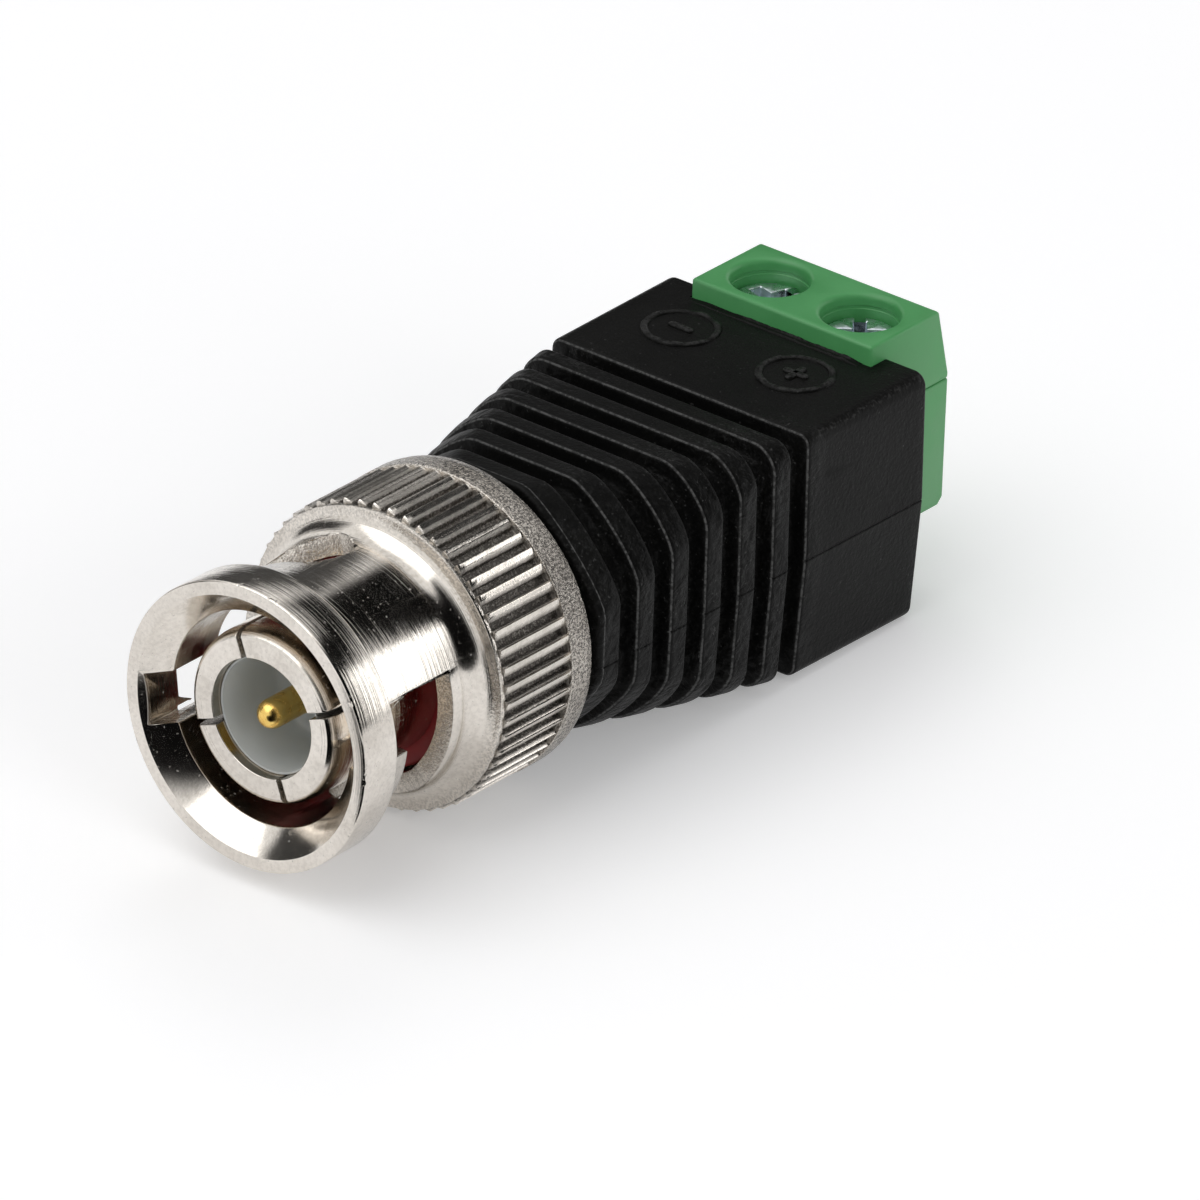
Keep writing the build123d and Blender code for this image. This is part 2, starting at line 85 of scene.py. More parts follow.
def feed(socket, value):
    """Links an output to a socket, or sets the socket's own value."""
    if isinstance(value, Value):
        value = value.socket
    if isinstance(value, bpy.types.NodeSocket):
        socket.id_data.links.new(value, socket)
    else:
        socket.default_value = value


def add(tree, kind, **inputs):
    """A node of a kind. An input goes by its label or, as i0, by its number; set_x sets the
    node's own x."""
    made = tree.nodes.new(kind)
    for key, value in inputs.items():
        if key.startswith("set_"):
            setattr(made, key[4:], value)
        elif key[0] == "i" and key[1:].isdigit():
            feed(made.inputs[int(key[1:])], value)
        else:
            feed(made.inputs[key.replace("_", " ")], value)
    return made


def out(tree, kind, output=0, **inputs):
    """One output of a new node."""
    return Value(add(tree, kind, **inputs).outputs[output])


def maths(tree, operation, *values, clamp=False):
    made = add(tree, "ShaderNodeMath", set_operation=operation, set_use_clamp=clamp)
    for socket, value in zip(made.inputs, values):
        feed(socket, value)
    return Value(made.outputs[0])


def larger(one, other):
    return maths(one.tree, "MAXIMUM", one, other)


def own_place(tree):
    """Where a point is on its piece, in the part's own frame."""
    return out(tree, "ShaderNodeTexCoord", "Object")


def length(tree, vector):
    return out(tree, "ShaderNodeVectorMath", "Value", set_operation="LENGTH", i0=vector)


def background_rays(tree):
    """1 for the rays that show the background: the camera's own, mirrored and refracted ones."""
    path = add(tree, "ShaderNodeLightPath").outputs
    seen = larger(Value(path["Is Camera Ray"]), path["Is Glossy Ray"])
    return larger(seen, path["Is Transmission Ray"])


def shader(name):
    """A new material, its tree, and the inputs of its one Principled shader."""
    material = bpy.data.materials.new(name)
    material.use_nodes = True
    return material, material.node_tree, material.node_tree.nodes["Principled BSDF"].inputs


def dress(surface, **inputs):
    """Feeds or sets the Principled shader's inputs."""
    for label, value in inputs.items():
        feed(surface[label.replace("_", " ")], value)


def finish_mesh(mesh_edit, name, sharp=35):
    """A smooth-shaded object from a mesh under edit, with its faces outwards."""
    bmesh.ops.remove_doubles(mesh_edit, verts=mesh_edit.verts, dist=1e-7)
    bmesh.ops.recalc_face_normals(mesh_edit, faces=mesh_edit.faces)
    mesh = bpy.data.meshes.new(name)
    mesh_edit.to_mesh(mesh)
    mesh_edit.free()
    piece = bpy.data.objects.new(name, mesh)
    bpy.context.scene.collection.objects.link(piece)
    smooth(piece, sharp)
    return piece


def smooth(piece, sharp=35):
    piece.data.shade_smooth()
    piece.data.set_sharp_from_angle(angle=math.radians(sharp))


def sheet(name, centre, across, along, half):
    """A flat square, from its centre and two directions."""
    edit = bmesh.new()
    corners = [(-half, -half), (half, -half), (half, half), (-half, half)]
    edit.faces.new([edit.verts.new(centre + across * u + along * v) for u, v in corners])
    return finish_mesh(edit, name)


slope = (box_rest - nut_rest).normalized()
floor = sheet("floor", nut_rest, Vector((1, 0, 0)), slope, floor_size / 2)
material, tree, surface = shader("floor_white")
distance = length(tree, own_place(tree))
lift = background_rays(tree) * distance.ramp(0.3, 1.3, floor_lift, far_floor_lift)
dress(surface, Base_Color=(0.93, 0.93, 0.93, 1), Roughness=0.75, Specular_IOR_Level=0.1,
      Emission_Color=(1, 1, 1, 1), Emission_Strength=lift)
floor.data.materials.append(material)

# Camera and light
# A long lens that looks down on the plug's face from the right, as the photograph does, and
# soft boxes of the size used for small metal things, with dark cards for the metal to mirror.

camera_turn, camera_height, camera_roll = math.radians(38.109), math.radians(27.443), math.radians(2.127)
camera_target = Vector((4.879, 18, 0.99)) * MM
camera_distance = 0.70285
camera_lens = 487.3
part_middle = Vector((0, 0.02, 0))

back = Vector((
    math.sin(camera_turn) * math.cos(camera_height),
    -math.cos(camera_turn) * math.cos(camera_height),
    math.sin(camera_height),
))
level = Vector((math.cos(camera_turn), math.sin(camera_turn), 0))
upward = back.cross(level)
right = level * math.cos(camera_roll) + upward * math.sin(camera_roll)
up = upward * math.cos(camera_roll) - level * math.sin(camera_roll)
lens = bpy.data.cameras.new("camera")
lens.lens, lens.sensor_width = camera_lens, 36
lens.clip_start, lens.clip_end = 0.05, 20
camera = bpy.data.objects.new("camera", lens)
bpy.context.scene.collection.objects.link(camera)
camera.matrix_world = Matrix.Translation(camera_target + back * camera_distance) @ Matrix(
    (right, up, back)
).transposed().to_4x4()
bpy.context.scene.camera = camera
bpy.context.scene.view_settings.view_transform = "Standard"


def aimed(thing, place):
    """Puts a lamp or card at a place, facing the part."""
    place = Vector(place)
    away = (place - part_middle).to_track_quat("Z", "Y").to_matrix().to_4x4()
    thing.matrix_world = Matrix.Translation(place) @ away


def soft_box(name, place, width, height, watts, mirrored=True):
    """A soft box; one that isn't mirrored only fills, and leaves no highlight on the metal."""
    lamp = bpy.data.lights.new(name, "AREA")
    lamp.shape, lamp.size, lamp.size_y = "RECTANGLE", width, height
    lamp.energy = watts
    thing = bpy.data.objects.new(name, lamp)
    bpy.context.scene.collection.objects.link(thing)
    thing.visible_glossy = mirrored
    aimed(thing, place)


soft_box("soft_box_top", (-0.11, -0.22, 0.44), 0.52, 0.50, 1.05)
soft_box("soft_box_back", (0.295, 0.36, 0.095), 0.12, 0.28, 0.17)
soft_box("fill_right", (0.50, -0.10, 0.20), 0.30, 0.30, 0.55, mirrored=False)
soft_box("fill_left", (-0.30, 0.35, 0.45), 0.30, 0.30, 0.45, mirrored=False)


def dark_card(name, corner, grey, edge=0.12, across=28, rows=16):
    """A dark card for the metal to mirror, from a function that gives the place at a share of
    its width and height. Only reflections show it, and its edges are soft."""
    edit = bmesh.new()
    shade = edit.verts.layers.float.new("shade")
    grid = []
    for j in range(rows + 1):
        line = []
        for k in range(across + 1):
            vert = edit.verts.new(corner(k / across, j / rows))
            vert[shade] = min(1.0, min(k / across, 1 - k / across, j / rows, 1 - j / rows) / edge)
            line.append(vert)
        grid.append(line)
    for low, high in zip(grid, grid[1:]):
        for k in range(across):
            edit.faces.new((low[k], low[k + 1], high[k + 1], high[k]))
    card = finish_mesh(edit, name)
    material, tree, surface = shader(name)
    tree.nodes.remove(tree.nodes["Principled BSDF"])
    clear = out(tree, "ShaderNodeBsdfTransparent")
    dark = out(tree, "ShaderNodeEmission", Color=(grey, grey, grey, 1))
    mask = out(tree, "ShaderNodeAttribute", "Fac", set_attribute_name="shade")
    mixed = out(tree, "ShaderNodeMixShader", i0=mask, i1=clear, i2=dark)
    feed(tree.nodes["Material Output"].inputs["Surface"], mixed)
    card.data.materials.append(material)
    card.visible_camera = card.visible_diffuse = card.visible_shadow = False


def bent(turns, heights, reach=0.62):
    """A place on a sphere round the part, between two compass turns and two heights in degrees."""
    def corner(u, v):
        turn = math.radians(turns[0] + (turns[1] - turns[0]) * u)
        height = math.radians(heights[0] + (heights[1] - heights[0]) * v)
        level = Vector((math.sin(turn), math.cos(turn), 0))
        return reach * (level * math.cos(height) + Vector((0, 0, math.sin(height))))
    return corner


dark_card("dark_card_right", bent((40, 166), (-10, 64)), 0.004)
dark_card("dark_card_back", bent((-27, 62), (26, 59)), 0.004)
dark_card("dark_card_behind_left", bent((-68, -20), (-12, 43)), 0.075)
dark_card("dark_card_left", bent((-122, -84), (-8, 33)), 0.05)


def low_corner(u, v):
    """A place on the small card that stands under the nut's right side."""
    return Vector((10.5 * u, -10 + 8.4 * u, -7.6 + 8.8 * v)) * MM


dark_card("dark_card_low", low_corner, 0.004, edge=0.05)


def blend(tree, factor, first, second):
    """Mixes two colours."""
    return out(tree, "ShaderNodeMix", 2, set_data_type="RGBA", i0=factor, i6=first, i7=second)


# The white background shows in reflections too; on everything else the world is a plain grey
world = bpy.data.worlds.new("studio")
bpy.context.scene.world = world
world.use_nodes = True
tree = world.node_tree
shown = blend(tree, background_rays(tree), (0.42, 0.42, 0.43, 1), (1, 1, 1, 1))
feed(tree.nodes["Background"].inputs["Color"], shown)

# Coupling nut
# Cast and turned brass with bright nickel plating: a turned flange and neck with two bayonet
# slots cut through, a flared lip, and a cast knurl whose ribs are tumbled rough.

turn_steps = 192
contact_radius = 4.05
bore_radius = 4.95
neck_radius = 5.85
flange_radius = 6.69
flange_width = 2.17
lead_in_radius, lead_in_depth = 6.05, 1.1
neck_end = 7.57
flare_radius = 1.15
lip_radius = 7.0
knurl_start, knurl_end, nut_end = 8.99, 13.24, 14.89
chamber_radius, chamber_start = 5.9, 8.97
ring_groove_radius, ring_play = 6.35, 0.02
ring_start, ring_end = 11.71, 12.41
knurl_radius = 7.25
rib_count, rib_width, rib_depth = 54, 0.45, 0.4
tail_round = 0.6
edge_round = 0.07


def eased(points, radius, steps=3, closed=True):
    """The same outline with its corners rounded; a point may carry its own radius."""
    count, rounded = len(points), []
    for k, point in enumerate(points):
        here = Vector(point[:2])
        own = point[2] if len(point) > 2 else radius
        if own == 0 or (not closed and k in (0, count - 1)):
            rounded.append(tuple(here))
            continue
        to_last = Vector(points[k - 1][:2]) - here
        to_next = Vector(points[(k + 1) % count][:2]) - here
        half = to_last.angle(to_next) / 2
        if abs(half - math.pi / 2) < 0.12:
            rounded.append(tuple(here))
            continue
        reach = min(own / math.tan(half), 0.45 * to_last.length, 0.45 * to_next.length)
        start, end = here + to_last.normalized() * reach, here + to_next.normalized() * reach
        for step in range(steps + 1):
            t = step / steps
            rounded.append(tuple(start.lerp(here, t).lerp(here.lerp(end, t), t)))
    return rounded


def arc(centre, radius, first, last, steps):
    """Points on an arc, in degrees, in radius and y."""
    angles = [math.radians(first + (last - first) * k / steps) for k in range(steps + 1)]
    return [(centre[0] + radius * math.cos(a), centre[1] + radius * math.sin(a), 0) for a in angles]


def shell(name, rings, closed=False, sharp=35):
    """A piece from rings of points. Each ring is joined to the next, and the ends are shut, or
    joined to each other. Faces that shrink to a line on an axis are left out."""
    edit = bmesh.new()
    rows = [[edit.verts.new(point) for point in ring] for ring in rings]
    for one, other in zip(rows, rows[1:] + rows[:1] if closed else rows[1:]):
        for k in range(len(one)):
            n = (k + 1) % len(one)
            if (one[k].co - other[k].co).length > 1e-9 or (one[n].co - other[n].co).length > 1e-9:
                edit.faces.new((one[k], one[n], other[n], other[k]))
    if not closed:
        edit.faces.new(rows[0])
        edit.faces.new(rows[-1])
    return finish_mesh(edit, name, sharp)


def turned_ring(outline, angle):
    """An outline of (radius, y) in millimetres, put at an angle round the plug's axis."""
    return [(r * math.cos(angle) * MM, y * MM, r * math.sin(angle) * MM) for r, y in outline]


def turned(outline, name, steps=turn_steps, sharp=35):
    """A turned piece from a closed outline of (radius, y) in millimetres."""
    rings = [turned_ring(outline, 2 * math.pi * step / steps) for step in range(steps)]
    return shell(name, rings, closed=True, sharp=sharp)


def cut(piece, cutters, ease=0.0, ease_steps=2, sharp=35, walls=None):
    """Cuts pieces out of a piece, rounds what is sharp, and leaves a plain mesh. The new faces
    take the material of the walls, or the piece's own."""
    for cutter in cutters:
        if not cutter.data.materials:
            cutter.data.materials.append(walls or piece.data.materials[0])
        modifier = piece.modifiers.new("cut", "BOOLEAN")
        modifier.operation, modifier.solver, modifier.object = "DIFFERENCE", "EXACT", cutter
        modifier.material_mode = "TRANSFER"
    if ease:
        modifier = piece.modifiers.new("ease", "BEVEL")
        modifier.width, modifier.segments = ease * MM, ease_steps
        modifier.limit_method, modifier.angle_limit = "ANGLE", math.radians(38)
        modifier.use_clamp_overlap = False
    plain(piece)
    for cutter in cutters:
        bpy.data.objects.remove(cutter)
    smooth(piece, sharp)
    return piece


def plain(piece):
    """Puts what the modifiers made into the piece's own mesh."""
    evaluated = piece.evaluated_get(bpy.context.evaluated_depsgraph_get())
    mesh = bpy.data.meshes.new_from_object(evaluated)
    piece.modifiers.clear()
    piece.data = mesh


def brick(name, x_span, y_span, z_span, turn=0.0):
    """A cutter with flat sides between two values on each axis, turned about the plug's axis."""
    edit = bmesh.new()
    spans = (x_span, y_span, z_span)
    size = Matrix.Diagonal([*[(high - low) * MM for low, high in spans], 1])
    middle = Matrix.Translation([(high + low) / 2 * MM for low, high in spans])
    place = Matrix.Rotation(math.radians(-turn), 4, "Y") @ middle @ size
    bmesh.ops.create_cube(edit, size=1, matrix=place)
    return finish_mesh(edit, name)


entry_turns = (7.5, 187.5)
entry_half, entry_radius = 1.2, 5.75
slot_half, slot_front = 1.5, 2.32
slot_middle = [(-30, 5.4), (45, 5.4), (57, 5.8), (69, 6.25), (81, 6.55), (120, 6.55)]
slot_last, slot_widening = 81.0, 0.3
mean_radius = 5.4


def slot_span(turn):
    """The lowest and highest y of a bayonet slot, so many degrees round from its entry."""
    for (first, low), (second, high) in zip(slot_middle, slot_middle[1:]):
        if first <= turn <= second:
            middle = low + (high - low) * (turn - first) / (second - first)
    past = math.radians(turn - slot_last) * mean_radius
    half = math.sqrt(max(slot_half ** 2 - max(past, 0) ** 2, 0.0025))
    low = middle - half - slot_widening * min(1.0, max(0.0, (turn - 50) / 12)) * half / slot_half
    beside = abs(math.radians(turn)) * mean_radius
    if beside < entry_half:
        low = slot_front
    return low, middle + half


def bayonet_cutter(entry):
    """The part of the neck that one slot removes, as a bent bar with a round end."""
    inside, outside = 4.3, 8.3
    reach = math.degrees(entry_half / mean_radius)
    turns = [-reach, -reach / 2, 0, reach / 2, reach - 0.01, reach + 0.01]
    turns += [reach + (slot_last - reach) * k / 24 for k in range(1, 25)]
    tail = math.degrees(slot_half / mean_radius)
    turns += [slot_last + tail * math.sin(math.pi / 2 * k / 10) for k in range(1, 11)]
    rings = []
    for turn in turns:
        low, high = slot_span(turn)
        section = (inside, low), (inside, high), (outside, high), (outside, low)
        rings.append(turned_ring(section, math.radians(entry - turn)))
    return shell("slot_cutter", rings)


def group(name, inputs, outputs):
    """An empty shader group with named inputs and outputs."""
    tree = bpy.data.node_groups.new(name, "ShaderNodeTree")
    for label, value in inputs.items():
        socket = tree.interface.new_socket(label, in_out="INPUT", socket_type="NodeSocketFloat")
        socket.default_value = value
    for label in outputs:
        tree.interface.new_socket(label, in_out="OUTPUT", socket_type="NodeSocketFloat")
    return tree, tree.nodes.new("NodeGroupInput").outputs, tree.nodes.new("NodeGroupOutput").inputs


def speckle(tree, place, scale, **more):
    """Noise at a place, from 0 to 1."""
    return out(tree, "ShaderNodeTexNoise", Vector=place, Scale=scale, **more)


def split(tree, place):
    """A place's x, y and z."""
    return [Value(socket) for socket in add(tree, "ShaderNodeSeparateXYZ", Vector=place).outputs]


def grain_group():
    """Fine pits and grains at two sizes; Patch says where the coarser ones lie thicker."""
    sizes = {"Grain Size": 6000.0, "Patch Size": 400.0}
    tree, given, result = group("fine_grain", sizes, ("Grain", "Patch"))
    place = own_place(tree)
    fine = speckle(tree, place, given["Grain Size"], Detail=3.0, Roughness=0.6)
    coarse = speckle(tree, place, given["Patch Size"], Detail=4.0, Roughness=0.55)
    feed(result["Grain"], fine)
    feed(result["Patch"], coarse.ramp(0.42, 0.62))
    return tree


def turning_group():
    """Lines left by the cutting tool, which run round the plug's axis, and a few long scratches."""
    sizes = {"Line Count": 9000.0, "Waver": 0.2}
    tree, given, result = group("turning_lines", sizes, ("Lines", "Scratches", "Radius"))
    place = own_place(tree)
    x, y, z = split(tree, place)
    radius = length(tree, out(tree, "ShaderNodeCombineXYZ", X=x, Y=z))
    drift = speckle(tree, place, 300.0, Detail=2.0)
    along = (y + radius) + drift * (Value(given["Waver"]) * 0.0002)
    spot = out(tree, "ShaderNodeCombineXYZ", X=along)
    lines = speckle(tree, spot, given["Line Count"], Detail=3.0, Roughness=0.7)
    stretched = out(tree, "ShaderNodeVectorMath", set_operation="MULTIPLY", i0=place, i1=(1.0, 0.08, 1.0))
    scratch = speckle(tree, stretched, 2600.0, Detail=2.0, Distortion=0.3)
    feed(result["Lines"], lines)
    feed(result["Radius"], radius)
    feed(result["Scratches"], scratch.ramp(0.66, 0.74))
    return tree


def use(tree, made_group, **values):
    """A shader group's outputs by name, for the values given."""
    made = add(tree, "ShaderNodeGroup", set_node_tree=made_group, **values)
    return {socket.name: Value(socket) for socket in made.outputs}


def bump(tree, height, strength, distance):
    return out(tree, "ShaderNodeBump", Height=height, Strength=strength, Distance=distance * MM)


grain, turning = grain_group(), turning_group()
nickel_bright, nickel_dull = (0.76, 0.715, 0.655, 1), (0.50, 0.46, 0.41, 1)
# The dark that paints shade into the nickel's colour
painted_shade_colour = (0.11, 0.10, 0.09, 1)
# The brass of the painted bronze reflection on the contact
painted_bronze_colour = (0.70, 0.50, 0.27, 1)


def nickel_plate(name, sanded=0.0, painted_bronze=0.0):
    """Nickel over turned and cast brass: mirror-like on the neck, sandy on the knurl's tail, with nicks on
    the front rim and a little dusty. Its colour has painted shade: dark in the pits of the grain on the
    tail, the lip and sanded walls, and down in the knurl's grooves. A sanded one is rough all over, as on
    cut walls. A painted-bronze one turns partly to brass behind its front, a painted reflection of the
    warm light bounced between the nut's bore and the contact."""
    material, tree, surface = shader(name)
    place = own_place(tree)
    along = split(tree, place)[1]
    cast = along.over(8.4, 9.1, sanded, 1.0)
    tail = along.over(13.15, 13.35, sanded, 1.0)
    lines = use(tree, turning, Line_Count=6000.0, Waver=0.5)
    sand = use(tree, grain, Grain_Size=9000.0, Patch_Size=700.0)
    stain = use(tree, grain, Grain_Size=1200.0, Patch_Size=300.0)
    speck = use(tree, grain, Grain_Size=12000.0, Patch_Size=5000.0)
    grains = speckle(tree, place, 8500.0, Detail=2.0, Roughness=0.7)
    in_knurl = along.over(8.95, 9.05) * (1.0 - tail)
    groove = in_knurl * lines["Radius"].over(7.15, 7.03)
    sandy = larger(tail, groove)
    lip = along.over(8.5, 8.85) * along.over(9.04, 8.98)
    turned_part = 1.0 - cast
    brushed = along.over(2.3, 2.1, 0.6, 0.95)
    rim = along.over(0.30, 0.12) * lines["Radius"].over(6.50, 6.62)
    nicks = speckle(tree, place, 1700.0, Detail=2.0).ramp(0.60, 0.68) * rim
    dust = speckle(tree, place, 6500.0, Detail=1.0).ramp(0.685, 0.76) * turned_part
    height = lines["Lines"] * (turned_part * brushed)
    height = height + sand["Grain"] * ((cast * 0.32 + tail * 1.4) + 0.05)
    height = height + grains * (sandy * 4.6 + lip * 1.1) - nicks * 1.2
    rough = cast * 0.08 + tail * 0.02 + lines["Scratches"] * 0.10 + stain["Grain"] * 0.12
    rough = rough + groove * 0.3 + 0.07
    dull = maths(tree, "ADD", stain["Patch"] * 0.4 + speck["Patch"] * 0.3, tail * 0.45, clamp=True)
    worn = blend(tree, dull, nickel_bright, nickel_dull)
    # Painted reflection: behind the front the colour turns partly to brass, for the warm light bounced
    # between the nut's bore and the contact
    if painted_bronze:
        painted_bronze_share = along.over(1.15, 1.7, 0.0, painted_bronze) * stain["Grain"].ramp(0.35, 0.6, 0.5, 1.0)
        worn = blend(tree, painted_bronze_share, worn, painted_bronze_colour)
    # Painted shade in the colour: the pits of the grain on the sandy tail, the sanded walls and the lip, and
    # the knurl's grooves, go dark
    painted_shade = larger(sandy, lip * 0.6) * grains.ramp(0.56, 0.42, 0.0, 0.9)
    painted_shade = larger(painted_shade, groove * grains.ramp(0.62, 0.5, 0.5, 0.95))
    dress(surface, Base_Color=blend(tree, painted_shade, worn, painted_shade_colour), Roughness=rough,
          Metallic=1.0 - dust * 0.35, Normal=bump(tree, height, 0.55, 0.045))
    return material


nickel, nickel_sanded = nickel_plate("nickel_plate"), nickel_plate("nickel_sanded", sanded=0.4)
groove_floor = knurl_radius - rib_depth
flare = arc((lip_radius, neck_end), flare_radius, 180, 90, 10)
outline = [
    (bore_radius, chamber_start), (bore_radius, lead_in_depth, 0.15), (lead_in_radius, 0, 0.05),
    (flange_radius, 0, 0.12), (flange_radius, flange_width, 0.10), (neck_radius, flange_width, 0.05),
    *flare, (lip_radius, knurl_start, 0.05), (groove_floor, knurl_start, 0.03),
    (groove_floor, knurl_end, 0.05), (knurl_radius, knurl_end, 0.05),
    (knurl_radius, nut_end, tail_round),
    (chamber_radius, nut_end, 0.1), (chamber_radius, ring_end + ring_play, 0),
    (ring_groove_radius, ring_end + ring_play, 0), (ring_groove_radius, ring_start - ring_play, 0),
    (chamber_radius, ring_start - ring_play, 0), (chamber_radius, chamber_start, 0),
]
nut = turned(eased(outline, edge_round), "nut_turned")
nut.data.materials.append(nickel)
cutters = []
for entry in entry_turns:
    cutters.append(bayonet_cutter(entry))
    radii = (contact_radius, entry_radius)
    cutters.append(brick("entry_cutter", radii, (-1, 6.9), (-entry_half, entry_half), entry))
    cutters[-1].data.materials.append(nickel)
cut(nut, cutters, ease=0.05, walls=nickel_sanded)


def rib_blank():
    """One knurl rib on +X, worn lower on one side, with softened edges."""
    half, low, high = rib_width / 2, groove_floor - 0.1, knurl_radius
    section = eased([
        (low, -half - 0.06, 0), (high - 0.19, -half + 0.01, 0.08),
        (high, half - 0.02, 0.06), (low, half + 0.06, 0),
    ], 0.07, steps=2)
    long = knurl_end - knurl_start
    stops = [(0.0, 0.06), (0.07, 0.0)] + [(long * k / 10, 0.0) for k in range(1, 10)] + [(long + 0.1, 0.0)]
    rings = []
    for along, drop in stops:
        worn = [(r - (drop if r > groove_floor else 0), z) for r, z in section]
        rings.append([(r * MM, (knurl_start + along) * MM, z * MM) for r, z in worn])
    return shell("nut_ribs", rings)


def cast_blob():
    """A small lump of metal left where a groove meets the lip."""
    edit = bmesh.new()
    place = Matrix.Translation(Vector((groove_floor + 0.03, knurl_start + 0.06, 0)) * MM)
    bmesh.ops.create_icosphere(edit, subdivisions=2, radius=0.13 * MM, matrix=place)
    return finish_mesh(edit, "nut_blobs")


def ring_tree(name):
    """Copies the piece's own mesh round the plug's axis, each a little different."""
    tree = bpy.data.node_groups.new(name, "GeometryNodeTree")
    face = tree.interface
    face.new_socket("Geometry", in_out="INPUT", socket_type="NodeSocketGeometry")
    for label, kind in (("Count", "Int"), ("First Turn", "Float"), ("Turn Wander", "Float"),
                        ("Size Wander", "Float"), ("Share", "Float"), ("Roughness", "Float"),
                        ("Grain Size", "Float"), ("Seed", "Int")):
        face.new_socket(label, in_out="INPUT", socket_type="NodeSocket" + kind)
    face.new_socket("Material", in_out="INPUT", socket_type="NodeSocketMaterial")
    face.new_socket("Geometry", in_out="OUTPUT", socket_type="NodeSocketGeometry")
    given = tree.nodes.new("NodeGroupInput").outputs
    result = tree.nodes.new("NodeGroupOutput")

    def put(kind, output=0, **inputs):
        return out(tree, kind, output, **inputs)

    def spread(low, high, salt):
        seed = maths(tree, "ADD", given["Seed"], salt)
        return put("FunctionNodeRandomValue", 1, set_data_type="FLOAT", i2=low, i3=high, Seed=seed)

    line = put("GeometryNodeMeshLine", Count=given["Count"], Offset=(0, 0, 0))
    step = maths(tree, "DIVIDE", 2 * math.pi, given["Count"])
    wander = spread(-1.0, 1.0, 1) * given["Turn Wander"]
    turn = put("GeometryNodeInputIndex") * step + (wander + given["First Turn"])
    rotation = put("ShaderNodeCombineXYZ", Y=turn)
    size = maths(tree, "ADD", 1.0, spread(-1.0, 0.0, 2) * given["Size Wander"])
    scale = put("ShaderNodeCombineXYZ", X=size, Y=1.0, Z=size)
    chosen = maths(tree, "LESS_THAN", spread(0.0, 1.0, 3), given["Share"])
    copies = put("GeometryNodeInstanceOnPoints", Points=line, Selection=chosen,
                 Instance=given["Geometry"], Rotation=rotation, Scale=scale)
    real = put("GeometryNodeRealizeInstances", Geometry=copies)
    rough = put("ShaderNodeTexNoise", "Color", Scale=given["Grain Size"], Detail=2.0)
    centred = put("ShaderNodeVectorMath", set_operation="SUBTRACT", i0=rough, i1=(0.5, 0.5, 0.5))
    shift = put("ShaderNodeVectorMath", set_operation="SCALE", i0=centred, Scale=given["Roughness"])
    moved = put("GeometryNodeSetPosition", Geometry=real, Offset=shift)
    feed(result.inputs[0], put("GeometryNodeSetMaterial", Geometry=moved, Material=given["Material"]))
    return tree


def set_round(piece, tree, **values):
    """Runs the tree on a piece with the values given by name, and leaves a plain mesh."""
    modifier = piece.modifiers.new("round", "NODES")
    modifier.node_group = tree
    for item in tree.interface.items_tree:
        label = item.name.lower().replace(" ", "_")
        if item.in_out == "INPUT" and label in values:
            modifier[item.identifier] = values[label]
    plain(piece)
    smooth(piece)


rounds = ring_tree("set_round_the_axis")
ribs = rib_blank()
set_round(ribs, rounds, count=rib_count, turn_wander=0.004, size_wander=0.004, share=1.0,
          roughness=0.03 * MM, grain_size=2500.0, seed=4, material=nickel)
blobs = cast_blob()
set_round(blobs, rounds, count=rib_count, first_turn=math.pi / rib_count, turn_wander=0.03,
          size_wander=0.012, share=0.55, roughness=0.12 * MM, grain_size=4000.0, seed=9, material=nickel)
for piece in (nut, ribs, blobs):
    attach(piece, "coupling")
    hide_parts("coupling_nut")

# Outer contact and barrel
# One turned brass piece under the same plating. Four sawn slots leave fingers that spring into
# the jack, a flange holds it inside the nut, and its grooved barrel is moulded in.

contact_front, finger_tip, face_round = 1.08, 1.95, 0.38
contact_bore, rear_bore, rear_bore_start = 2.76, 3.3, 12.0
seat_radius, seat_start = 3.75, 8.02
captured_radius, captured_start, captured_end = 5.6, 9.02, 10.17
barrel_radius, barrel_end = 4.3, 21.0
grip_radius, grip_width, grip_starts = 3.9, 1.0, (16.2, 18.4)
finger_slot_turns = (22, 112, 202, 292)
finger_slot_half, finger_slot_end = 0.14, 6.18

outline = []
for k in range(9):
    a = math.pi / 2 * k / 8
    drawn_in, forward = face_round * (1 - math.sin(a)), (finger_tip - contact_front) * math.cos(a)
    outline.append((contact_radius - drawn_in, finger_tip - forward, 0))
outline += [
    (contact_radius, seat_start, 0), (seat_radius, seat_start, 0), (seat_radius, captured_start, 0),
    (captured_radius, captured_start), (captured_radius, captured_end), (barrel_radius, captured_end),
]
for start in grip_starts:
    outline += [(barrel_radius, start), (grip_radius, start)]
    outline += [(grip_radius, start + grip_width), (barrel_radius, start + grip_width)]
outline += [
    (barrel_radius, barrel_end), (rear_bore, barrel_end), (rear_bore, rear_bore_start),
    (contact_bore, rear_bore_start), (contact_bore, contact_front, 0.06),
]
contact = turned(eased(outline, 0.06), "outer_contact", steps=128)
# The contact's nickel carries a painted bronze reflection behind its front
contact.data.materials.append(nickel_plate("nickel_rubbed", painted_bronze=0.4))
saws = [
    brick("saw", (2, 5), (0, finger_slot_end), (-finger_slot_half, finger_slot_half), turn)
    for turn in finger_slot_turns
]
cut(contact, saws, ease=0.035, walls=nickel_sanded)
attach(contact, "adapter_body")
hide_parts("plug_body")

# White insulator and gold pin
# A turned white plastic cup lines the fingers and holds the pin. The pin is brass with gold
# plating, and its tip is rounded by tumbling, so it is a little rough.


